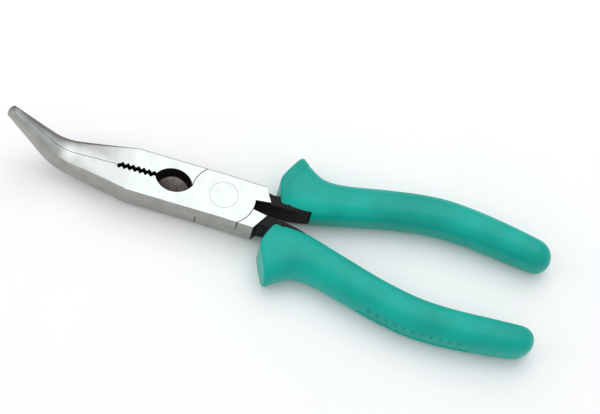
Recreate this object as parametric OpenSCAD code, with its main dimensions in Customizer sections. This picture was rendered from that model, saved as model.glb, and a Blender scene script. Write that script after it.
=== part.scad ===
// Bent long-nose fishing pliers: two crossed steel halves on one flush rivet,
// side-cutter recess, pipe teeth, and two moulded grips with thumb guards.
// X runs from the nose (negative) to the handle ends, Y across the handles,
// Z along the pivot axis. The origin is where that axis meets the back face.

/* [Head] */
// Width of the ground head across both jaws
head_w = 17.8; // [16:0.2:18.4]
// Thickness of the head, back face to front face
head_t = 10.6; // [9.8:0.2:11.4]
// Radius of the round lap joint
lap_r = 11.5; // [11:0.1:12]
// Chamfer along the upper front edge and the lower back edge of the head
edge_chamfer = 0.8; // [0.4:0.1:1.2]

/* [Pivot] */
// Diameter of the rivet's shank
rivet_d = 8; // [6:0.5:8.5]
// Diameter of the rivet's flush countersunk heads
rivet_head_d = 10.4; // [9:0.2:11]
// Depth of each countersink
rivet_head_h = 1.3; // [0.8:0.1:2]

/* [Nose] */
// Distance from the pivot to where the nose starts to taper
nose_x = 34; // [31:1:38]
// Distance from the pivot to where the nose starts to bend
bend_x = 54; // [50:1:60]
// Centre-line radius of the bend
bend_r = 14; // [10:1:20]
// Angle of the bent tip above the head's plane
bend_angle = 49; // [30:1:60]
// Length of the straight tip past the bend
tip_l = 20; // [15:1:28]
// Width of the closed tip across both jaws
tip_w = 4.2; // [2.6:0.2:5]
// Thickness of the tip
tip_t = 3.8; // [3:0.2:5]

/* [Jaws] */
// Number of pipe teeth in each jaw
teeth = 7; // [5:1:9]
// Pitch of the pipe teeth
tooth_pitch = 1.95; // [1.6:0.05:2.1]
// Depth of the slot that the teeth stand in
tooth_relief = 0.5; // [0.1:0.1:0.5]
// Length of the side-cutter recess
recess_l = 13.9; // [12:0.1:14.5]
// Height of the recess in each jaw
recess_h = 4.7; // [3.5:0.1:5]

/* [Handles] */
// X of the handle ends
handle_x = 120; // [116:1:130]
// Thickness of the bare neck behind the head
neck_t = 9; // [8:0.2:9.4]
// Thickness of the tang inside the grip
tang_t = 7; // [5:0.5:8]
// X of the end of the window in each grip's inner wall
window_x = 31.7; // [28:0.1:35]
// Angle between the line of the closed jaws and the middle of the handles
handle_skew = 1.5; // [0:0.1:2]

/* [Grips] */
// Thickness of the grip, back to front
grip_t = 13; // [12.6:0.2:15]
// Length of the rounded end
grip_round = 6.5; // [4:0.5:9]
// Squareness of the grip's cross-section, 2 is an ellipse
grip_square = 2.6; // [2:0.1:4]

/* [Movement] */
// Angle that the pliers are open
open_angle = 0; // [0:1:40]

/* [Hidden] */

steel = "#dfe3e2";
rivet_steel = "#c9cdcc";
grip_teal = "#2bb0a4";

mid_z = head_t / 2;
half_w = head_w / 2;
mate_gap = 0.1;          // between the closed jaws
lap_gap = 0.06;          // between the lapped discs
shoulder_gap = 0.3;      // round the lapped discs
pin_clearance = 0.05;    // rivet in the half that turns
eps = 0.01;
nose_inset = 0.05;       // keeps the nose's root just inside the ground block
soft_edge = 0.2;         // broken corner on the head's other long edges
chamfer_overlap = 0.1;   // chamfer cuts run this far past the kink at the pivot
wedge_fill = 0.6;        // half width of the block between the straight and skewed runs
wedge_inset = 0.05;      // keeps that block just inside the head's long edges

recess_x = -lap_r;                            // recess ends at the lap
teeth_x = recess_x - recess_l - teeth * tooth_pitch;
recess_land = 0.9;                            // solid edge left behind the recess
recess_step = 4.6;                            // height of the recess's upright wall

nose_l = tip_l + bend_r * bend_angle * PI / 180 + bend_x - nose_x;
corner_steps = 5;

// Ground root of the handle: its outer end, inner end and crotch
root_outer = [13.4, half_w];
root_inner = [16.8, 2.8];
root_crotch = [11.2, 1.9];

// Edges of the grip and the tang, as [x, y] points that a smooth curve joins
grip_outer = [[14, 37], [23, 27], [26, 24.4], [29, 22], [33, 20.2], [40, 20.4],
              [55, 24], [70, 27.1], [82, 27.9], [101, 26], [122, 22]];
grip_inner = [[14, 1.9], [24, 2.3], [31, 3], [46, 7.1], [62, 11.4], [76, 13.9],
              [88, 14.2], [104, 13], [122, 11.6]];
// Mouth of the grip, as [height, x] points
grip_mouth = [[-4, 22.6], [2, 20.8], [10, 18.2], [13.6, 17.6], [17, 18.7], [26, 22.9],
              [40, 29.5]];
tang_centre = [[14, 4.6], [18, 4.5], [24, 6.1], [31, 7.9], [40, 11.2], [55, 16.3],
               [70, 19.8], [84, 20.8], [100, 19.4], [114, 17.6]];
tang_width = [[14, 4.6], [18, 4], [24, 6.6], [31, 7.4], [46, 7], [80, 6], [114, 4.6]];
tang_end = 114;

// ---- curve helpers ----
function segment(p, x, i = 0) =
    i >= len(p) - 2 || x < p[i + 1][0] ? i : segment(p, x, i + 1);
function slope(p, i) =
    let (a = max(i - 1, 0), b = min(i + 1, len(p) - 1))
    (p[b][1] - p[a][1]) / (p[b][0] - p[a][0]);
function curve(p, x) =
    let (i = segment(p, x),
         h = p[i + 1][0] - p[i][0],
         t = (x - p[i][0]) / h)
    p[i][1] * (2 * t^3 - 3 * t^2 + 1) + p[i + 1][1] * (3 * t^2 - 2 * t^3)
    + slope(p, i) * h * (t^3 - 2 * t^2 + t) + slope(p, i + 1) * h * (t^3 - t^2);

// ---- skin through a list of closed sections with equal numbers of points ----
module skin(sections) {
    n = len(sections[0]);
    last = len(sections) - 1;
    sides = [for (s = [0:last - 1]) for (i = [0:n - 1])
        let (a = s * n + i, b = s * n + (i + 1) % n)
        each [[a, b, b + n], [a, b + n, a + n]]];
    first_cap = [for (i = [n - 1:-1:0]) i];
    last_cap = [for (i = [0:n - 1]) last * n + i];
    polyhedron([for (s = sections) each s], concat([first_cap], sides, [last_cap]));
}

// ---- nose: half of a D-shaped taper, bent upwards ----
// Centre line of the nose at distance s from its tip: [x, z, tilt]
function nose_line(s) =
    let (arc = bend_r * bend_angle * PI / 180,
         top = mid_z + bend_r * (1 - cos(bend_angle)),
         knee = -bend_x - bend_r * sin(bend_angle))
    s < tip_l
        ? [knee - (tip_l - s) * cos(bend_angle), top + (tip_l - s) * sin(bend_angle), bend_angle]
    : s < tip_l + arc
        ? let (a = bend_angle * (tip_l + arc - s) / arc)
          [-bend_x - bend_r * sin(a), mid_z + bend_r * (1 - cos(a)), a]
    : [-bend_x + (s - tip_l - arc), mid_z, 0];

// Corner of the section: a chamfer at the head that grows into a full round
function corner(k, size, roundness) =
    let (a = 90 * k / corner_steps, f = k / corner_steps)
    size * [(1 - roundness) * (f - 1) + roundness * (sin(a) - 1),
            (1 - roundness) * -f + roundness * (cos(a) - 1)];

// Section points at distance s from the tip, in the jaw at +Y, with the
// chamfers that the front and back corners start from at the head
function nose_section(s, front, back) =
    let (f = s / nose_l,
         w = tip_w / 2 + (half_w - nose_inset - tip_w / 2) * f,
         t = tip_t / 2 + (mid_z - nose_inset - tip_t / 2) * f,
         full = (1 - f) * 0.95 * min(w - mate_gap, t),
         inner = mate_gap / 2 + nose_inset,
         flat = concat([[inner, t]],
                       [for (k = [0:corner_steps])
                           [w, t] + corner(k, front * f + full, 1 - f)],
                       [for (k = [corner_steps:-1:0])
                           let (p = [w, t] + corner(k, back * f + full, 1 - f))
                           [p[0], -p[1]]],
                       [[inner, -t]]),
         c = nose_line(s))
    [for (p = flat) [c[0] + p[1] * sin(c[2]), p[0], c[1] + p[1] * cos(c[2])]];

module nose(front, back) {
    arc = bend_r * bend_angle * PI / 180;
    stations = concat([for (i = [0:6]) tip_l * i / 6],
                      [for (i = [1:7]) tip_l + arc * i / 7],
                      [for (i = [1:5]) tip_l + arc + (nose_l - tip_l - arc) * i / 5]);
    skin([for (s = stations) nose_section(s, front, back)]);
}

// ---- flat outlines ----
// One jaw's root, from the taper to the pivot, at +Y
module jaw_2d() {
    translate([-nose_x, mate_gap / 2])
        square([nose_x, half_w - mate_gap / 2]);
}

// Offset along X of the corner where a long edge meets its own skewed run
function kink(skew) = half_w * tan(skew / 2);

// Lap disc, cut to the width of the head on each side of the pivot
module disc_2d(skew) {
    intersection() {
        circle(lap_r, $fn = 96);
        union() {
            translate([-2 * lap_r, -half_w])
                square([2 * lap_r, head_w]);
            rotate(skew)
                translate([0, -half_w])
                    square([2 * lap_r, head_w]);
            translate([-wedge_fill, wedge_inset - half_w])
                square([2 * wedge_fill, head_w - 2 * wedge_inset]);
        }
    }
}

// Ground root of a handle, at +Y
module root_2d() {
    polygon([[0, root_crotch[1]], root_crotch, root_inner, root_outer, [0, half_w]]);
}

// Bare neck and tang of a handle at +Y, from behind the head to x_end
module tang_2d(x_end) {
    steps = 26;
    xs = [for (i = [0:steps]) 14 + (x_end - 14) * i / steps];
    polygon(concat(
        [for (x = xs) [x, curve(tang_centre, x) - curve(tang_width, x) / 2]],
        [for (i = [steps:-1:0]) [xs[i], curve(tang_centre, xs[i]) + curve(tang_width, xs[i]) / 2]]));
}

// A slab of an outline between two heights
module slab(z0, z1) {
    translate([0, 0, z0])
        linear_extrude(z1 - z0)
            children();
}

// ---- what is cut from a half ----
// Side-cutter recess of the jaw at +Y: an upright lens wall over a bevel
module recess() {
    chord = recess_l / 2;
    lens_r = (chord^2 + recess_h^2) / (2 * recess_h);
    bevel = atan((recess_step - recess_land) / recess_h);
    difference() {
        intersection() {
            translate([recess_x - chord, recess_h - lens_r, recess_land])
                cylinder(h = head_t, r = lens_r, $fn = 96);
            translate([recess_x - recess_l, -eps, 0])
                cube([recess_l, recess_h + 1, head_t + 2]);
        }
        translate([recess_x - recess_l - 1, 0, recess_land])
            rotate([bevel, 0, 0])
                translate([0, -1, -2 * recess_step])
                    cube([recess_l + 2, 4 * recess_h, 2 * recess_step]);
    }
}

// Pipe teeth of the jaw at +Y, as notches and a shallow slot
module tooth_notches(phase) {
    side = tooth_pitch / sqrt(2);
    slab(-1, head_t + 1) {
        for (i = [0:teeth - 1])
            translate([teeth_x + (i + phase) * tooth_pitch, tooth_relief])
                rotate(45)
                    square(side, center = true);
        translate([teeth_x, -eps])
            square([teeth * tooth_pitch + tooth_relief, tooth_relief + eps]);
    }
}

// Chamfer cut along one long edge of the head, at [y, z] from x0 to x1
module chamfer_cut(edge, x0, x1) {
    side = edge_chamfer * sqrt(2);
    translate([x0, edge[0], edge[1]])
        rotate([45, 0, 0])
            translate([0, -side / 2, -side / 2])
                cube([x1 - x0, side, side]);
}

// Upper front and lower back chamfers, each straight and then skewed
module head_chamfers() {
    for (side = [1, -1]) {
        edge = [side * half_w, side > 0 ? head_t : 0];
        bend = side * kink(handle_skew);
        chamfer_cut(edge, -nose_x, bend + chamfer_overlap);
        rotate(-handle_skew)
            chamfer_cut(edge, -bend - chamfer_overlap, 2 * lap_r);
    }
}

// The rivet's own shape, larger all round by a clearance
module rivet_body(clearance) {
    r = rivet_d / 2 + clearance;
    head_r = rivet_head_d / 2 + clearance;
    rotate_extrude($fn = 96)
        polygon([[0, 0], [head_r, 0], [r, rivet_head_h], [r, head_t - rivet_head_h],
                 [head_r, head_t], [0, head_t]]);
}

// ---- one half: jaw at -Y, disc in front, handle at +Y ----
// The other half is the same forging turned over, with its own nose
module half_blank(skew) {
    slab(mid_z + lap_gap / 2, head_t) {
        mirror([0, 1]) jaw_2d();
        disc_2d(skew);
        rotate(skew) root_2d();
    }
    difference() {
        slab(0, mid_z + lap_gap / 2) {
            mirror([0, 1]) jaw_2d();
            rotate(skew) root_2d();
        }
        translate([0, 0, -1])
            cylinder(h = mid_z + lap_gap / 2 + 1, r = lap_r + shoulder_gap, $fn = 96);
    }
    rotate(skew) {
        slab(mid_z - neck_t / 2, mid_z + neck_t / 2)
            tang_2d(window_x);
        slab(mid_z - tang_t / 2, mid_z + tang_t / 2)
            tang_2d(tang_end);
    }
}

// Turns the half over, so that its jaw is at +Y and its disc behind
module turned_over() {
    translate([0, 0, head_t])
        rotate([180, 0, 0])
            children();
}

module front_half() {
    color(steel) {
        difference() {
            half_blank(-handle_skew);
            head_chamfers();
            rivet_body(0);
            mirror([0, 1, 0]) recess();
            mirror([0, 1, 0]) tooth_notches(0.3);
        }
        difference() {
            mirror([0, 1, 0]) nose(soft_edge, edge_chamfer);
            mirror([0, 1, 0]) tooth_notches(0.3);
        }
    }
}

module rear_half() {
    color(steel)
        rotate(-open_angle) {
            difference() {
                turned_over() half_blank(handle_skew);
                head_chamfers();
                rivet_body(pin_clearance);
                recess();
                tooth_notches(0.8);
            }
            difference() {
                nose(edge_chamfer, soft_edge);
                tooth_notches(0.8);
            }
        }
}

module pivot_rivet() {
    color(rivet_steel)
        rivet_body(0);
}

// ---- grips ----
// Cross-section of the grip at x, scaled down towards the rounded end
function grip_section(x) =
    let (in = curve(grip_inner, x),
         out = curve(grip_outer, x),
         e = max(0, (x - handle_x + grip_round) / grip_round),
         f = max(0.02, pow(1 - pow(e, 2.2), 1 / 2.2)),
         c = (in + out) / 2,
         n = 24)
    [for (i = [0:n - 1])
        let (a = -360 * (i + 0.5) / n, q = 2 / grip_square)
        [x,
         c + f * (out - in) / 2 * sign(cos(a)) * pow(abs(cos(a)), q),
         mid_z + f * grip_t / 2 * sign(sin(a)) * pow(abs(sin(a)), q)]];

// Solid outer shape of the grip at +Y
module grip_body() {
    near = [14, 17, 20, 22, 23, 24, 26, 28, 30, 32, 35];
    far = [for (i = [1:15]) 35 + (handle_x - grip_round - 35) * i / 15];
    tail = [for (a = [18:18:90]) handle_x - grip_round * (1 - sin(a))];
    skin([for (x = concat(near, far, tail)) grip_section(x)]);
}

// Everything in front of the curved mouth
module mouth_cut() {
    slab(-grip_t, 2 * grip_t)
        polygon(concat([[0, 40], [0, -4]],
                       [for (y = [-4:2:40]) [curve(grip_mouth, y), y]]));
}

// Window in the inner wall, which bares the side of the neck
module window_cut() {
    slab(mid_z - neck_t / 2, mid_z + neck_t / 2)
        polygon(concat([[window_x, -2], [14, -2]],
                       [for (i = [0:4]) let (x = 14 + (window_x - 14) * i / 4)
                           [x, curve(tang_centre, x)]]));
}

module grip() {
    difference() {
        grip_body();
        mouth_cut();
        window_cut();
        slab(mid_z - neck_t / 2, mid_z + neck_t / 2)
            tang_2d(window_x);
        slab(mid_z - tang_t / 2, mid_z + tang_t / 2)
            tang_2d(tang_end);
    }
}

module upper_grip() {
    color(grip_teal)
        rotate(-handle_skew)
            grip();
}

module lower_grip() {
    color(grip_teal)
        rotate(-handle_skew - open_angle)
            mirror([0, 1, 0])
                grip();
}

front_half();
rear_half();
pivot_rivet();
upper_grip();
lower_grip();
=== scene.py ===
# %% [markdown]
# # Bent long-nose pliers
#
# Two crossed steel halves turn on one flush rivet, and each handle carries a
# moulded grip. This lesson builds the looks around a fixed frame of five solids,
# so every piece already has its true place and size, in metres.

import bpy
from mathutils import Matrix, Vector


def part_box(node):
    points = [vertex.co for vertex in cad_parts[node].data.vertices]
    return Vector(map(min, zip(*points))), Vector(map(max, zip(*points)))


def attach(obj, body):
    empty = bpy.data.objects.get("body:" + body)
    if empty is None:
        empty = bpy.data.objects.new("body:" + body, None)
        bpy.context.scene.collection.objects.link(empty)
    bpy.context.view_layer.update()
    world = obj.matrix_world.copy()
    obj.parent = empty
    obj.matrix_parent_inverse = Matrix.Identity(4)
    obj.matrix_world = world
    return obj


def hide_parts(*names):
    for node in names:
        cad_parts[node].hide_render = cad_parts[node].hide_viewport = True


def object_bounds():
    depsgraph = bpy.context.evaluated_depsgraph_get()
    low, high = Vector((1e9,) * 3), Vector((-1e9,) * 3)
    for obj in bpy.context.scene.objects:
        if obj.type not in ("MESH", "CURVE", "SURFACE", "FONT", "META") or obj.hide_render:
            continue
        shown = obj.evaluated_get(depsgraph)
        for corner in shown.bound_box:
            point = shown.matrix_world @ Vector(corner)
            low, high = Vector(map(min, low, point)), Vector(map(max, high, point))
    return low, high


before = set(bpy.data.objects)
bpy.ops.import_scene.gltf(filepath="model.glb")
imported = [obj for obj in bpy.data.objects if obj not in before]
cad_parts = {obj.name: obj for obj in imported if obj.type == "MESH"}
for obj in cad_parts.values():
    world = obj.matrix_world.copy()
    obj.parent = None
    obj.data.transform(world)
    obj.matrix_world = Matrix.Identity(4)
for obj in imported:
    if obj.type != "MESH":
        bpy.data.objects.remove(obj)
cad_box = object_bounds()
print("frame box in metres:", [[round(v, 4) for v in corner] for corner in cad_box])

# %% [markdown]
# ## Measures taken from the frame
#
# The rivet runs from one face of the head to the other, so its box gives the
# head's thickness. The grip's box gives the grip's thickness. Lengths are kept in
# millimetres while shapes are worked out, and turned to metres only at the end.

# %% Measures
import math

import bmesh
import bpy
import numpy as np
from mathutils import Matrix, Vector

MM = 0.001
rivet_low, rivet_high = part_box("pivot_rivet")
grip_low, grip_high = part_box("upper_grip")
head_t = (rivet_high[2] - rivet_low[2]) / MM
mid_z = head_t / 2
rivet_head_r = (rivet_high[0] - rivet_low[0]) / 2 / MM
grip_t = (grip_high[2] - grip_low[2]) / MM
handle_skew = math.radians(1.5)  # the closed jaws lean this much from the handles' middle
print(f"head {head_t:.1f} mm thick, rivet head {2 * rivet_head_r:.1f} mm, grip {grip_t:.1f} mm")

# %% [markdown]
# ## Small helpers
#
# Colours are written as sRGB hex, the way paint and plastic charts give them, and
# a shader wants linear light, so one function turns them. A second adds a node:
# it sets the node's own settings, and links or sets its inputs.

# %% Helpers for colours, nodes and meshes
def linear(code):
    """An sRGB hex colour as linear red, green, blue and alpha."""
    parts = [int(code[i:i + 2], 16) / 255 for i in (1, 3, 5)]
    return tuple(c / 12.92 if c <= 0.04045 else ((c + 0.055) / 1.055) ** 2.4 for c in parts) + (1.0,)


def add_node(tree, kind, inputs=None, **settings):
    """Adds a node; an input is given a socket to link it, or a value to set it."""
    made = tree.nodes.new(kind)
    for key, value in settings.items():
        setattr(made, key, value)
    for key, value in (inputs or {}).items():
        socket = made.inputs[key]
        if isinstance(value, bpy.types.NodeSocket):
            tree.links.new(value, socket)
        else:
            socket.default_value = value
    return made


def make_piece(name, points_mm, faces):
    """A mesh object from points in millimetres, its faces turned outwards."""
    mesh = bpy.data.meshes.new(name)
    mesh.from_pydata([tuple(MM * float(c) for c in p) for p in points_mm], [], faces)
    shape = bmesh.new()
    shape.from_mesh(mesh)
    bmesh.ops.remove_doubles(shape, verts=shape.verts, dist=1e-7)
    bmesh.ops.recalc_face_normals(shape, faces=shape.faces)
    shape.to_mesh(mesh)
    shape.free()
    piece = bpy.data.objects.new(name, mesh)
    bpy.context.scene.collection.objects.link(piece)
    return piece


def bake_modifiers(piece):
    """Turns a piece's modifiers into plain mesh and removes them."""
    bpy.context.view_layer.update()
    shown = piece.evaluated_get(bpy.context.evaluated_depsgraph_get())
    mesh = bpy.data.meshes.new_from_object(shown)
    piece.modifiers.clear()
    piece.data = mesh
    return mesh


def shade_by_angle(mesh, degrees):
    """Smooth shading, with a hard line wherever two faces meet at a larger angle."""
    mesh.shade_smooth()
    shape = bmesh.new()
    shape.from_mesh(mesh)
    for edge in shape.edges:
        edge.smooth = len(edge.link_faces) == 2 and edge.calc_face_angle() < math.radians(degrees)
    shape.to_mesh(mesh)
    shape.free()


# %% [markdown]
# ## Materials: steel
#
# The head is chrome-vanadium steel, ground flat front and back and thinly nickel
# plated, so those faces are bright with fine grinding lines and faint cloudy
# patches. Its sides are only satin blasted, so they look darker. One material
# serves both: the mesh carries an attribute that is 1 where the wheel touched it,
# and along the nose it also holds painted shade, darker towards the outer edges.
# A second attribute marks the nose's upper side, which gets painted shade: a
# dark brownish satin where shade falls. Metals keep the default IOR, because
# their colour sets the reflection.

# %% Steel materials
def start_material(name):
    """An empty node material with its shader; returns both and the tree."""
    made = bpy.data.materials.new(name)
    made.use_nodes = True
    tree = made.node_tree
    tree.nodes.clear()
    shader = add_node(tree, "ShaderNodeBsdfPrincipled")
    add_node(tree, "ShaderNodeOutputMaterial", {"Surface": shader.outputs["BSDF"]})
    return made, tree, shader


def per_mm(size):
    """Noise scale, in patterns per metre, for a pattern of this size in millimetres."""
    return 1.0 / (size * MM)


def grain(tree, size, stretch=(1.0, 1.0, 1.0), detail=3.0):
    """Noise on Object coordinates, its size in millimetres, drawn out by a stretch."""
    place = add_node(tree, "ShaderNodeTexCoord").outputs["Object"]
    drawn = add_node(tree, "ShaderNodeMapping", {"Vector": place, "Scale": stretch})
    noise = add_node(tree, "ShaderNodeTexNoise", {
        "Vector": drawn.outputs[0], "Scale": per_mm(size), "Detail": detail})
    return add_node(tree, "ShaderNodeMapRange", {
        "Value": noise.outputs["Fac"], "From Min": 0.3, "From Max": 0.7}).outputs[0]


def between(tree, factor, low, high):
    """A linear blend of two numbers by a 0 to 1 factor."""
    return add_node(tree, "ShaderNodeMapRange", {
        "Value": factor, "To Min": low, "To Max": high}).outputs[0]


def two_colours(tree, factor, first, second):
    """A blend of two hex colours, or sockets, by a factor."""
    mix = add_node(tree, "ShaderNodeMix", {"Factor": factor}, data_type="RGBA")
    for slot, colour in ((6, first), (7, second)):
        if isinstance(colour, bpy.types.NodeSocket):
            tree.links.new(colour, mix.inputs[slot])
        else:
            mix.inputs[slot].default_value = linear(colour)
    return mix.outputs[2]


def bump(tree, height, depth_mm):
    """A bump whose full height is a real depth in millimetres."""
    return add_node(tree, "ShaderNodeBump", {
        "Height": height, "Strength": 1.0, "Distance": depth_mm * MM}).outputs[0]


GROUND_COLOURS = ("#b9bfbd", "#d0d5d4")
CLOUD_MM = 4.0
GRINDING_MM = 0.35  # real lines are near 0.05 mm; drawn coarser so that they show
GRINDING_STRETCH = (0.12, 1.0, 1.0)
GRINDING_DEEP_MM = 0.006
steel_ground, tree, shader = start_material("nickel_plated_ground_steel")
# This attribute is the ground finish, less the painted shade along the nose's outer edges.
ground = add_node(tree, "ShaderNodeAttribute", attribute_name="ground").outputs["Fac"]
clouds = grain(tree, CLOUD_MM)
lines = grain(tree, GRINDING_MM, stretch=GRINDING_STRETCH)
bright = two_colours(tree, clouds, *GROUND_COLOURS)
# Painted shade: the nose's upper side is darkened to a brownish satin, where shade falls.
upper_shade_factor = add_node(tree, "ShaderNodeAttribute", attribute_name="painted_upper_shade").outputs["Fac"]
plain = two_colours(tree, clouds, "#a2a29c", "#b4b4ae")
painted_shade_brown = two_colours(tree, clouds, "#5d524e", "#7a6f69")
satin_or_painted_shade = two_colours(tree, upper_shade_factor, plain, painted_shade_brown)
shader.inputs["Metallic"].default_value = 1.0
tree.links.new(two_colours(tree, ground, satin_or_painted_shade, bright), shader.inputs["Base Color"])
rough = add_node(tree, "ShaderNodeMath", {0: between(tree, ground, 0.46, 0.4),
                                          1: between(tree, clouds, -0.06, 0.06)}, operation="ADD")
tree.links.new(rough.outputs[0], shader.inputs["Roughness"])
tree.links.new(bump(tree, lines, GRINDING_DEEP_MM), shader.inputs["Normal"])

# %% [markdown]
# The bare necks keep the black oxide of the hardening bath: nearly black, a little
# brown where it is rubbed. The same black is put on the recess wall as painted
# shade, where the cavity lies in shadow, and on the gullets between the teeth. The
# cutter's bevel is bare steel with short hand-ground strokes. The rivet is ground
# flush together with the head, so it shares the ground faces' colours.

# %% Black oxide, black painted shade and the ground bevel of the cutter
# Black oxide on the necks; on the recess wall the same black is painted shade.
steel_black, tree, shader = start_material("black_oxide_and_painted_shade_steel")
wear = grain(tree, 2.5)
tree.links.new(two_colours(tree, wear, "#0c0a0b", "#241e20"), shader.inputs["Base Color"])
shader.inputs["Metallic"].default_value = 0.8
tree.links.new(between(tree, wear, 0.38, 0.58), shader.inputs["Roughness"])
tree.links.new(bump(tree, grain(tree, 0.3), 0.01), shader.inputs["Normal"])

steel_bevel, tree, shader = start_material("hand_ground_cutter_steel")
strokes = grain(tree, 0.5, stretch=(1.0, 0.2, 0.2))
tree.links.new(two_colours(tree, strokes, "#8f8780", "#c4bcb4"), shader.inputs["Base Color"])
shader.inputs["Metallic"].default_value = 1.0
shader.inputs["Roughness"].default_value = 0.45
tree.links.new(bump(tree, strokes, 0.01), shader.inputs["Normal"])

steel_rivet, tree, shader = start_material("flush_ground_rivet_steel")
clouds = grain(tree, CLOUD_MM)
lines = grain(tree, GRINDING_MM, stretch=GRINDING_STRETCH)
tree.links.new(two_colours(tree, clouds, *GROUND_COLOURS), shader.inputs["Base Color"])
shader.inputs["Metallic"].default_value = 1.0
tree.links.new(between(tree, clouds, 0.34, 0.46), shader.inputs["Roughness"])
tree.links.new(bump(tree, lines, GRINDING_DEEP_MM), shader.inputs["Normal"])
print("steels:", [m.name for m in (steel_ground, steel_black, steel_bevel, steel_rivet)])

# %% [markdown]
# ## Materials: grip plastic
#
# The grips are soft vinyl or polypropylene, injection moulded in one teal colour.
# A moulded skin is satin: a fine spark-eroded texture breaks up the highlight, and
# the colour is a little deeper where the material is thick or handled.

# %% Moulded grip material
grip_teal, tree, shader = start_material("satin_moulded_teal_plastic")
flow = grain(tree, 14.0, detail=1.0)
tree.links.new(two_colours(tree, flow, "#00998a", "#00ab9b"), shader.inputs["Base Color"])
shader.inputs["IOR"].default_value = 1.5
shader.inputs["Specular IOR Level"].default_value = 0.22  # a moulded skin scatters most gloss
tree.links.new(between(tree, grain(tree, 1.5), 0.27, 0.36), shader.inputs["Roughness"])
tree.links.new(bump(tree, grain(tree, 0.25), 0.008), shader.inputs["Normal"])
print("grip:", grip_teal.name)

# %% [markdown]
# ## Steel halves
#
# Each half is one forging: jaw, lap disc and tang. The frame already has its exact
# shape, so a copy is taken, its loose triangles merged, and flat areas dissolved to
# clean faces. A small bevel then breaks the edges, because no ground tool has a
# perfectly sharp one and the thin highlight is what makes steel look real.

# %% Copy a forging and break its edges
EDGE_BREAK_MM = 0.1
BREAK_ABOVE, HARD_ABOVE = 38, 32  # degrees between faces: bevelled, and shaded as an edge
TIP_ROUND_MM = 0.9
MATING_MM = 0.3  # edges nearer than this to the mating plane stay sharp


def forging(node, name):
    """A bevelled copy of a CAD node's solid."""
    piece = bpy.data.objects.new(name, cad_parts[node].data.copy())
    bpy.context.scene.collection.objects.link(piece)
    piece.data.materials.clear()
    shape = bmesh.new()
    shape.from_mesh(piece.data)
    bmesh.ops.remove_doubles(shape, verts=shape.verts, dist=1e-6)
    bmesh.ops.dissolve_limit(shape, angle_limit=math.radians(0.5), verts=shape.verts,
                             edges=shape.edges)
    end = min(shape.faces, key=lambda face: face.calc_center_median().x)
    rim = [edge for edge in end.edges if max(abs(v.co.y) for v in edge.verts) > MATING_MM * MM]
    bmesh.ops.bevel(shape, geom=rim, offset=TIP_ROUND_MM * MM, segments=4, profile=0.5,
                    affect="EDGES", clamp_overlap=True)
    shape.to_mesh(piece.data)
    shape.free()
    bevel = piece.modifiers.new("broken_edges", "BEVEL")
    bevel.width = EDGE_BREAK_MM * MM
    bevel.segments = 2
    bevel.limit_method = "ANGLE"
    bevel.angle_limit = math.radians(BREAK_ABOVE)
    bake_modifiers(piece)
    shade_by_angle(piece.data, HARD_ABOVE)
    flat = piece.modifiers.new("flat_faces_stay_flat", "WEIGHTED_NORMAL")
    flat.keep_sharp = True
    bake_modifiers(piece)
    return piece


front_steel = forging("front_half", "front_half_forging")
rear_steel = forging("rear_half", "rear_half_forging")
for piece in (front_steel, rear_steel):
    print(piece.name, len(piece.data.polygons), "faces")

# %% [markdown]
# A face's finish follows from where it lies: flat front and back were ground, the
# necks are black, the recess wall is black as painted shade, and all else is satin.
# The nose turns up in a bend, so there "front" is judged against the bend's own
# tilt. Along the nose the ground finish fades towards the outer edges as painted
# shade, and the nose's upper side gets painted shade too. The result goes to the
# material slot of each face and to attributes at its corners.

# %% Give each face its finish
bend_x, bend_r, bend_angle = 54.0, 14.0, math.radians(49)
SATIN_OR_GROUND, BLACK, BEVEL = 0, 1, 2
SKIN_MM = 0.15  # faces nearer than this to the head's front or back belong to it
NECK_FROM_X, HEAD_CORNER_TO_X, HEAD_CORNER_Y = 10.8, 13.4, 8.2
RECESS_FROM_X, RECESS_TO_X, RECESS_HALF_W, RECESS_FLOOR_Z = -25.5, -11.4, 4.75, 0.85
TEETH_FROM_X, TEETH_HALF_W = -39.2, 1.7
GROUND_FROM, GROUND_FADE = 0.8, 0.18  # how squarely a surface faces front to be ground
UPPER_SHADE_FROM_X, UPPER_SHADE_FADE_MM = -33.0, 12.0
UPPER_SHADE_SIDE_FROM, UPPER_SHADE_SIDE_FADE = 0.2, 0.4  # how far a surface faces up the nose to get painted shade
# Painted shade along the nose: the ground finish is taken back towards the outer edges.
EDGE_SHADE_SHARE, EDGE_SHADE_FROM_X, EDGE_SHADE_FADE_MM = 0.75, -34.0, 20.0


def unit(value):
    """A number held between 0 and 1."""
    return max(0.0, min(1.0, value))


def nose_up(x):
    """The direction the head's front faces, for a place along the nose."""
    tilt = min(bend_angle, math.asin(unit((-x - bend_x) / bend_r)))
    return Vector((math.sin(tilt), 0.0, math.cos(tilt)))


def finish_of(centre, normal):
    """The material slot of a face, from its centre in mm and its normal."""
    x, y, z = centre
    if abs(z - mid_z) >= mid_z - SKIN_MM:
        return SATIN_OR_GROUND
    head_side = abs(y) > HEAD_CORNER_Y and x < HEAD_CORNER_TO_X and abs(normal.y) > 0.9
    if x > NECK_FROM_X and not head_side:
        return BLACK
    if RECESS_FROM_X < x < RECESS_TO_X and abs(y) < RECESS_HALF_W and z > RECESS_FLOOR_Z:
        # The steep recess wall is black as painted shade; the sloped bevel is bare.
        return BEVEL if normal.z > 0.3 else BLACK
    if TEETH_FROM_X < x < RECESS_FROM_X and abs(y) < TEETH_HALF_W:
        return BLACK
    return SATIN_OR_GROUND


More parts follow.
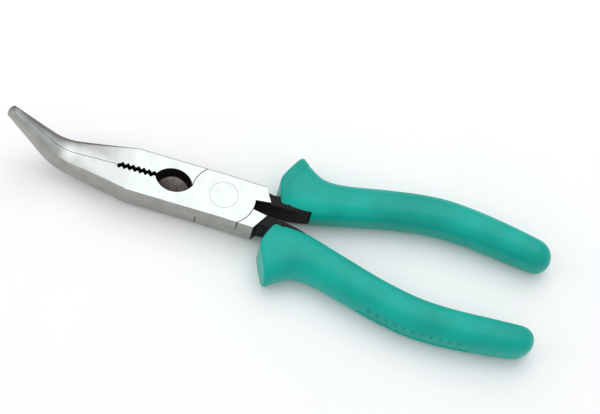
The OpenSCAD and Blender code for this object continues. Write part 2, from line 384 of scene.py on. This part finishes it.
def apply_finishes(piece):
    """Sets each face's material and the two attributes that the steel reads."""
    mesh = piece.data
    for surface in (steel_ground, steel_black, steel_bevel):
        mesh.materials.append(surface)
    for face in mesh.polygons:
        face.material_index = finish_of(face.center / MM, face.normal)
    ground_at = mesh.attributes.new("ground", "FLOAT", "CORNER")
    upper_shade_at = mesh.attributes.new("painted_upper_shade", "FLOAT", "CORNER")
    for loop in mesh.loops:
        x, y, _ = mesh.vertices[loop.vertex_index].co / MM
        normal = mesh.corner_normals[loop.index].vector
        facing = unit((abs(normal.dot(nose_up(x))) - GROUND_FROM) / GROUND_FADE)
        # Painted shade: towards the nose's outer edges the finish goes darker, as a rounded edge in shade
        # would.
        painted_edge_shade = EDGE_SHADE_SHARE * unit((EDGE_SHADE_FROM_X - x) / EDGE_SHADE_FADE_MM) if abs(y) > MATING_MM else 0.0
        ground_at.data[loop.index].value = (1 - painted_edge_shade) * facing
        # Painted shade on the nose's upper side, fading in from the bend.
        upper_shaded = 1.0 if y > MATING_MM else unit((normal.y - UPPER_SHADE_SIDE_FROM) / UPPER_SHADE_SIDE_FADE)
        upper_shade_at.data[loop.index].value = upper_shaded * unit((UPPER_SHADE_FROM_X - x) / UPPER_SHADE_FADE_MM)


for piece in (front_steel, rear_steel):
    apply_finishes(piece)
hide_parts("front_half")
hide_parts("rear_half")
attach(front_steel, "front_assembly")
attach(rear_steel, "rear_assembly")

# %% [markdown]
# ## Rivet
#
# The rivet is a spool: a shank with a countersunk head at each end, ground flush
# with the head's faces. A lathe shape suits it, an outline turned round the pivot
# axis. A tiny broken edge on each head leaves the fine ring that shows in the steel.

# %% Turn the rivet on its axis
HEAD_OVERHANG_MM = 1.2
shank_r = rivet_head_r - HEAD_OVERHANG_MM
countersink = 1.3
ring = 0.14  # broken edge that shows as the seam round the head
TURNS = 96
outline = [(0.0, 0.0), (rivet_head_r - ring, 0.0), (rivet_head_r, ring), (shank_r, countersink),
           (shank_r, head_t - countersink), (rivet_head_r, head_t - ring),
           (rivet_head_r - ring, head_t), (0.0, head_t)]
points = [(r * math.cos(2 * math.pi * k / TURNS), r * math.sin(2 * math.pi * k / TURNS), z)
          for r, z in outline for k in range(TURNS)]
faces = [(i * TURNS + k, i * TURNS + (k + 1) % TURNS, (i + 1) * TURNS + (k + 1) % TURNS,
          (i + 1) * TURNS + k) for i in range(len(outline) - 1) for k in range(TURNS)]
rivet = make_piece("flush_rivet", points, faces)
shade_by_angle(rivet.data, 30)
rivet.data.materials.append(steel_rivet)
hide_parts("pivot_rivet")
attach(rivet, "front_assembly")
print("rivet", len(rivet.data.polygons), "faces")

# %% [markdown]
# ## Grip outline
#
# Seen from the front, a grip lies between an inner and an outer edge, and its front
# end is a curved mouth that runs up the thumb guard. Each is a smooth curve through
# a few listed points. Between them the section is a superellipse, squarer than an
# ellipse, the way a moulded handle fills the hand.

# %% Curves of the grip
OUTER = [(14, 37), (23, 27), (26, 24.4), (29, 22), (33, 20.2), (40, 20.4), (55, 24),
         (70, 27.1), (82, 27.9), (101, 26), (122, 22)]
INNER = [(14, 1.9), (24, 2.3), (31, 3), (46, 7.1), (62, 11.4), (76, 13.9), (88, 14.2),
         (104, 13), (122, 11.6)]
MOUTH = [(-4, 22.6), (2, 20.8), (10, 18.2), (13.6, 17.6), (17, 18.7), (26, 22.9), (40, 29.5)]
TANG_CENTRE = [(14, 4.6), (18, 4.5), (24, 6.1), (31, 7.9), (40, 11.2), (55, 16.3), (70, 19.8),
               (84, 20.8), (100, 19.4), (114, 17.6)]
TANG_WIDTH = [(14, 4.6), (18, 4), (24, 6.6), (31, 7.4), (46, 7), (80, 6), (114, 4.6)]
handle_x, round_l, squareness = 120.0, 6.5, 2.6
END_POWER = 2.2  # how full the rounding of the handle's end is
window_x, neck_t, tang_t, tang_end = 31.7, 9.0, 7.0, 114.0


def curve(points, x):
    """A smooth curve through points, read at x, one number or an array."""
    px, py = np.array(points, float).T
    at = np.clip(np.searchsorted(px, x, side="right") - 1, 0, len(px) - 2)
    before = np.maximum(np.arange(len(px)) - 1, 0)
    after = np.minimum(np.arange(len(px)) + 1, len(px) - 1)
    slope = (py[after] - py[before]) / (px[after] - px[before])
    h = px[at + 1] - px[at]
    t = (x - px[at]) / h
    return (py[at] * (2 * t ** 3 - 3 * t ** 2 + 1) + py[at + 1] * (3 * t ** 2 - 2 * t ** 3)
            + slope[at] * h * (t ** 3 - 2 * t ** 2 + t) + slope[at + 1] * h * (t ** 3 - t ** 2))


def section(x, angle):
    """Point of the grip's skin at x and at an angle round its section."""
    inner, outer = curve(INNER, x), curve(OUTER, x)
    past = np.clip((x - handle_x + round_l) / round_l, 0, 1)
    shrink = (1 - past ** END_POWER) ** (1 / END_POWER)
    power = 2 / squareness
    across = np.sign(np.cos(angle)) * np.abs(np.cos(angle)) ** power
    up = np.sign(np.sin(angle)) * np.abs(np.sin(angle)) ** power
    y = (inner + outer) / 2 + shrink * (outer - inner) / 2 * across
    z = mid_z + shrink * grip_t / 2 * up
    return np.stack([x + 0 * y, y, z], -1)


# %% [markdown]
# ## Grip skin
#
# The skin is a grid: columns run round the section, rows run from the mouth to the
# handle's end. Each column starts where it meets the mouth, found by halving an
# interval, so the mouth is a clean edge and needs no cutting. Rows then carry the
# moulded details: a groove behind the rim and a long sunk panel on the outer side.

# %% Build the skin as a grid
COLUMNS, ROWS, TAIL_ROWS = 160, 130, 12
LIP_MM = 0.9          # rounding of the mouth's edge
RIM_AT_MM = 3.4       # groove behind the mouth
RIM_DEEP_MM, RIM_WIDE_MM = 0.24, 0.55
PANEL_FROM, PANEL_TO, PANEL_DEEP_MM = 56.0, 99.0, 0.6
PANEL_HALF_ANGLE = math.radians(26)
PANEL_WALL_MM, PANEL_WALL_ANGLE = 1.2, 0.09
GROOVE_ANGLE = math.radians(52)  # where the front face meets the outer side
GROOVE_DEEP_MM, GROOVE_WIDE_ANGLE, GROOVE_FADE_MM, GROOVE_PAST_MM = 0.16, 0.07, 8, 2
MOUTH_FROM_X, MOUTH_TO_X, HALVINGS = 14.0, 36.0, 40
angles = 2 * np.pi * (np.arange(COLUMNS) + 0.5) / COLUMNS


def mouth_starts():
    """The x at which each column leaves the mouth."""
    low, high = np.full(COLUMNS, MOUTH_FROM_X), np.full(COLUMNS, MOUTH_TO_X)
    for _ in range(HALVINGS):
        middle = (low + high) / 2
        behind = middle > curve(MOUTH, section(middle, angles)[:, 1])
        high = np.where(behind, middle, high)
        low = np.where(behind, low, middle)
    return (low + high) / 2


def smooth(value, start, stop):
    """A soft step from 0 at start to 1 at stop."""
    t = np.clip((value - start) / (stop - start), 0, 1)
    return t * t * (3 - 2 * t)


def sunk(x, from_mouth, angle):
    """How far the skin is pressed in, for the groove behind the rim and the panel."""
    rim = RIM_DEEP_MM * np.exp(-((from_mouth - RIM_AT_MM) / RIM_WIDE_MM) ** 2)
    side = np.abs((angle + np.pi) % (2 * np.pi) - np.pi)
    along = (smooth(x, PANEL_FROM, PANEL_FROM + PANEL_WALL_MM)
             * (1 - smooth(x, PANEL_TO - PANEL_WALL_MM, PANEL_TO)))
    inside = 1 - smooth(side, PANEL_HALF_ANGLE - PANEL_WALL_ANGLE, PANEL_HALF_ANGLE)
    run = (smooth(x, PANEL_FROM - GROOVE_FADE_MM, PANEL_FROM)
           * (1 - smooth(x, PANEL_TO - GROOVE_FADE_MM, PANEL_TO + GROOVE_PAST_MM)))
    groove = GROOVE_DEEP_MM * run * np.exp(-((side - GROOVE_ANGLE) / GROOVE_WIDE_ANGLE) ** 2)
    return rim + PANEL_DEEP_MM * along * inside + groove


def grip_grid():
    """Rows of points from the mouth's lip to just short of the end."""
    start = mouth_starts()
    steps = np.linspace(0, 1, ROWS) ** 1.35  # closer together near the mouth
    rows = [start + LIP_MM + (handle_x - round_l - start - LIP_MM) * s for s in steps]
    rows += [np.full(COLUMNS, handle_x - round_l * (1 - math.sin(b)))
             for b in np.linspace(0, math.pi / 2, TAIL_ROWS + 2)[1:-1]]
    grid = np.array([section(x, angles) for x in rows])
    along = np.gradient(grid, axis=0)
    around = np.roll(grid, -1, 1) - np.roll(grid, 1, 1)
    normal = np.cross(around, along)
    normal /= np.linalg.norm(normal, axis=2, keepdims=True)
    centre = grid.mean(1, keepdims=True)
    normal *= np.where(((grid - centre) * normal).sum(2, keepdims=True) < 0, -1, 1)
    depth = sunk(grid[:, :, 0], grid[:, :, 0] - start, angles[None, :])
    return grid - normal * depth[:, :, None], normal, start


# %% [markdown]
# The lip rolls inward over a quarter circle, and the end face then closes over the
# mouth on rings that shrink to its middle. Every ring keeps to the mouth's own
# curved wall, because its x is read from the same mouth curve.

# %% Close the skin into a solid
def grip_solid(name):
    """The grip as one closed solid, before its socket is cut."""
    skin, normal, start = grip_grid()
    rings = []
    for turn in (0.0, 22.5, 45.0, 67.5):  # from the end face back out to the skin
        roll = math.radians(turn)
        ring = section(start + LIP_MM * (1 - math.cos(roll)), angles)
        ring = ring - normal[0] * LIP_MM * (1 - math.sin(roll))
        rings.append(ring)
    middle = np.array([0, rings[0][:, 1].mean(), mid_z])
    face_rings = []
    for share in np.linspace(0, 1, 9)[1:-1]:
        ring = middle + (rings[0] - middle) * share
        ring[:, 0] = curve(MOUTH, ring[:, 1])
        face_rings.append(ring)
    middle[0] = curve(MOUTH, middle[1])
    rows = face_rings + rings + list(skin)
    tip = np.array([handle_x, skin[-1][:, 1].mean(), mid_z])
    points = np.concatenate(rows + [middle[None], tip[None]])
    last = len(rows) - 1
    faces = []
    for i in range(last):
        for k in range(COLUMNS):
            n = (k + 1) % COLUMNS
            faces.append((i * COLUMNS + k, i * COLUMNS + n,
                          (i + 1) * COLUMNS + n, (i + 1) * COLUMNS + k))
    hub = len(points) - 2
    faces += [(hub, (k + 1) % COLUMNS, k) for k in range(COLUMNS)]
    faces += [(hub + 1, last * COLUMNS + k, last * COLUMNS + (k + 1) % COLUMNS)
              for k in range(COLUMNS)]
    return make_piece(name, points, faces)


# %% [markdown]
# ## Socket and window
#
# The grip is moulded round the tang, so it has a socket of the tang's shape, and a
# window in its inner wall shows the side of the black neck. Both are plain prisms,
# taken away with Boolean modifiers, which give true walls instead of painted ones.

# %% Cut the socket and window
NECK_X, BELOW_Y = 14, -3  # the window's cutter starts ahead of the grip and inside its edge


def prism(name, outline, half_height):
    """A prism of an [x, y] outline, set evenly about the head's middle plane."""
    n = len(outline)
    points = [(x, y, mid_z + s * half_height) for s in (-1, 1) for x, y in outline]
    faces = [tuple(range(n)), tuple(range(n, 2 * n))]
    faces += [(i, (i + 1) % n, n + (i + 1) % n, n + i) for i in range(n)]
    return make_piece(name, points, faces)


def tang_side(x, side):
    """The y of the tang's outer (1) or inner (-1) side."""
    return float(curve(TANG_CENTRE, x) + side * curve(TANG_WIDTH, x) / 2)


def cut_socket(piece):
    """Takes the neck's window and the tang's socket out of a grip."""
    neck_xs = np.linspace(NECK_X, window_x, 14)
    tang_xs = np.linspace(window_x - 1, tang_end, 30)
    window = [(NECK_X, BELOW_Y), (window_x, BELOW_Y)] + [(float(x), tang_side(x, 1)) for x in neck_xs[::-1]]
    tang = [(float(x), tang_side(x, -1)) for x in tang_xs]
    tang += [(float(x), tang_side(x, 1)) for x in tang_xs[::-1]]
    for outline, half in ((window, neck_t / 2), (tang, tang_t / 2)):
        cutter = prism("cutter", outline, half)
        cut = piece.modifiers.new("socket", "BOOLEAN")
        cut.operation = "DIFFERENCE"
        cut.solver = "EXACT"
        cut.object = cutter
        bake_modifiers(piece)
        bpy.data.objects.remove(cutter)


def place(piece, lower):
    """Leans the handle by the skew, and mirrors the lower one, in its vertices."""
    lean = Matrix.Rotation(-handle_skew, 4, "Z")
    piece.data.transform(lean @ Matrix.Scale(-1, 4, (0, 1, 0)) if lower else lean)
    if lower:
        piece.data.flip_normals()


for name, node, body, lower in (("upper_grip_moulding", "upper_grip", "front_assembly", False),
                                ("lower_grip_moulding", "lower_grip", "rear_assembly", True)):
    grip = grip_solid(name)
    cut_socket(grip)
    place(grip, lower)
    grip.data.materials.clear()
    grip.data.materials.append(grip_teal)
    shade_by_angle(grip.data, 40)
    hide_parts(node)
    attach(grip, body)
    print(name, len(grip.data.polygons), "faces")

# %% [markdown]
# ## Ribs in the panel
#
# The sunk panel holds a row of plain raised ribs. What repeats is made by Geometry
# Nodes: a line of points follows the panel's floor, each with the skin's own normal
# stored on it, and a rounded bar is set on every point and turned to that normal.

# %% A node tree that sets bars on points
RIBS = 11
RIB_PITCH_MM = 3.4
RIB_SIZE_MM = (1.0, 4.4, 0.9)


def rib_tree():
    """Sets one rounded bar on each point, turned to the normal stored there."""
    tree = bpy.data.node_groups.new("ribs_on_points", "GeometryNodeTree")
    face = tree.interface
    face.new_socket("Points", in_out="INPUT", socket_type="NodeSocketGeometry")
    for label in ("Rib Width", "Rib Length", "Rib Height"):
        face.new_socket(label, in_out="INPUT", socket_type="NodeSocketFloat")
    face.new_socket("Material", in_out="INPUT", socket_type="NodeSocketMaterial")
    face.new_socket("Ribs", in_out="OUTPUT", socket_type="NodeSocketGeometry")
    given = add_node(tree, "NodeGroupInput").outputs
    size = add_node(tree, "ShaderNodeCombineXYZ", {
        "X": given["Rib Width"], "Y": given["Rib Length"], "Z": given["Rib Height"]})
    ball = add_node(tree, "GeometryNodeMeshUVSphere", {"Segments": 16, "Rings": 10, "Radius": 0.5})
    rib = add_node(tree, "GeometryNodeTransform", {
        "Geometry": ball.outputs["Mesh"], "Scale": size.outputs[0]})
    normal = add_node(tree, "GeometryNodeInputNamedAttribute", {"Name": "skin_normal"},
                      data_type="FLOAT_VECTOR")
    along = add_node(tree, "GeometryNodeInputNamedAttribute", {"Name": "skin_along"},
                     data_type="FLOAT_VECTOR")
    upright = add_node(tree, "FunctionNodeAlignRotationToVector", {
        "Vector": normal.outputs["Attribute"]}, axis="Z")
    turned = add_node(tree, "FunctionNodeAlignRotationToVector", {
        "Rotation": upright.outputs[0], "Vector": along.outputs["Attribute"]}, axis="X", pivot_axis="Z")
    dots = add_node(tree, "GeometryNodeMeshToPoints", {"Mesh": given["Points"]})
    placed = add_node(tree, "GeometryNodeInstanceOnPoints", {
        "Points": dots.outputs[0], "Instance": rib.outputs[0], "Rotation": turned.outputs[0]})
    real = add_node(tree, "GeometryNodeRealizeInstances", {"Geometry": placed.outputs[0]})
    done = add_node(tree, "GeometryNodeSetMaterial", {
        "Geometry": real.outputs[0], "Material": given["Material"]})
    add_node(tree, "NodeGroupOutput", {"Ribs": done.outputs[0]})
    return tree


def skin_frame(x, angle):
    """A point on the panel's floor, with the skin's normal and its run, in mm."""
    here = section(np.array(x), np.array(angle))
    run = section(np.array(x + 0.1), np.array(angle)) - here
    round_it = section(np.array(x), np.array(angle + 0.01)) - here
    run /= np.linalg.norm(run)
    normal = np.cross(round_it, run)
    normal /= np.linalg.norm(normal)
    normal *= np.sign(normal[1] * math.cos(angle) + normal[2] * math.sin(angle))
    return here - normal * PANEL_DEEP_MM, normal, run


# %% [markdown]
# Each row gets its points from the grip's own section, so the ribs stay on the
# panel's floor. The lower row is the upper one mirrored, as its grip is. The result
# is turned to plain mesh at once, because an export keeps no instances.

# %% Set the ribs on each grip
ribs_on_points = rib_tree()


def rib_row(name, lower):
    """A row of ribs for one grip, as plain mesh."""
    middle = (PANEL_FROM + PANEL_TO) / 2
    frames = [skin_frame(middle + (k - (RIBS - 1) / 2) * RIB_PITCH_MM, 0.0) for k in range(RIBS)]
    flip = np.array([1, -1 if lower else 1, 1])
    lean = np.array(Matrix.Rotation(-handle_skew, 3, "Z"))
    moved = [[lean @ (flip * part) for part in one] for one in frames]
    row = bpy.data.objects.new(name, bpy.data.meshes.new(name))
    row.data.from_pydata([tuple(MM * p[0]) for p in moved], [], [])
    bpy.context.scene.collection.objects.link(row)
    for label, part in (("skin_normal", 1), ("skin_along", 2)):
        store = row.data.attributes.new(label, "FLOAT_VECTOR", "POINT")
        for k, one in enumerate(moved):
            store.data[k].vector = one[part]
    nodes = row.modifiers.new("ribs", "NODES")
    nodes.node_group = ribs_on_points
    sockets = {s.name: s.identifier for s in nodes.node_group.interface.items_tree}
    for label, size in zip(("Rib Width", "Rib Length", "Rib Height"), RIB_SIZE_MM):
        nodes[sockets[label]] = size * MM
    nodes[sockets["Material"]] = grip_teal
    bake_modifiers(row)
    row.data.shade_smooth()
    return row


for name, body, lower in (("upper_grip_ribs", "front_assembly", False),
                          ("lower_grip_ribs", "rear_assembly", True)):
    ribs = rib_row(name, lower)
    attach(ribs, body)
    print(name, len(ribs.data.polygons), "faces")

# %% [markdown]
# ## Floor, light and camera
#
# A studio for small tools has a white sweep and broad soft light. A pale floor just under
# the grips, a bright even world, and two large soft lamps give that, with one lamp
# high behind the tool so that the ground faces mirror it.

# %% Floor and lamps
FLOOR_M = 4.0
FLOOR_GAP_MM = 0.02
floor_z = cad_box[0][2] / MM - FLOOR_GAP_MM
half = FLOOR_M / 2 / MM
corners = [(-half, -half, floor_z), (half, -half, floor_z), (half, half, floor_z),
           (-half, half, floor_z)]
floor = make_piece("floor", corners, [(0, 1, 2, 3)])
paper, tree, shader = start_material("white_sweep_paper")
patches = grain(tree, 60.0)
tree.links.new(two_colours(tree, patches, "#f8f8f8", "#fbfbfb"), shader.inputs["Base Color"])
shader.inputs["Roughness"].default_value = 0.9
floor.data.materials.append(paper)

world = bpy.data.worlds.new("studio")
bpy.context.scene.world = world
world.use_nodes = True
world.node_tree.nodes["Background"].inputs["Color"].default_value = linear("#f6f8fa")
world.node_tree.nodes["Background"].inputs["Strength"].default_value = 0.82


def soft_lamp(name, place_m, aim_m, side_m, watts):
    """A square area lamp that looks at a point."""
    lamp = bpy.data.lights.new(name, "AREA")
    lamp.shape = "SQUARE"
    lamp.size = side_m
    lamp.energy = watts
    holder = bpy.data.objects.new(name, lamp)
    bpy.context.scene.collection.objects.link(holder)
    holder.location = place_m
    holder.rotation_euler = (Vector(aim_m) - Vector(place_m)).to_track_quat("-Z", "Y").to_euler()


soft_lamp("key_above_behind", (0.02, 0.42, 0.78), (0.02, 0, 0), 0.8, 2.6)
soft_lamp("fill_left", (-0.7, -0.2, 0.5), (0.02, 0, 0), 0.6, 1.0)

# %% [markdown]
# The tool is seen from its front edge, high over the head, and the camera is rolled
# so that the nose lies up to the left. The lens is long, so there is little
# perspective. Three unit vectors, right, up and back, are the camera's own axes.

# %% Camera
AZIMUTH, ELEVATION, ROLL = math.radians(-2.42), math.radians(60.34), math.radians(-18.53)
DISTANCE_MM, LENS_MM, SENSOR_MM = 510.3, 84.888, 36.0
target = Vector((27.29, 6.99, mid_z)) * MM
back = Vector((math.cos(ELEVATION) * math.sin(AZIMUTH), -math.cos(ELEVATION) * math.cos(AZIMUTH),
               math.sin(ELEVATION)))
right = Vector((math.cos(AZIMUTH), math.sin(AZIMUTH), 0))
above = back.cross(right)
rolled_right = math.cos(ROLL) * right - math.sin(ROLL) * above
rolled_up = math.sin(ROLL) * right + math.cos(ROLL) * above
camera = bpy.data.objects.new("camera", bpy.data.cameras.new("camera"))
bpy.context.scene.collection.objects.link(camera)
camera.data.sensor_width = SENSOR_MM
camera.data.lens = LENS_MM
turn = Matrix((rolled_right, rolled_up, back)).transposed().to_4x4()
camera.matrix_world = Matrix.Translation(target + back * DISTANCE_MM * MM) @ turn
bpy.context.scene.camera = camera
bpy.context.scene.view_settings.view_transform = "Standard"  # keeps colours at full strength
print(f"lens {camera.data.lens:.1f} mm")
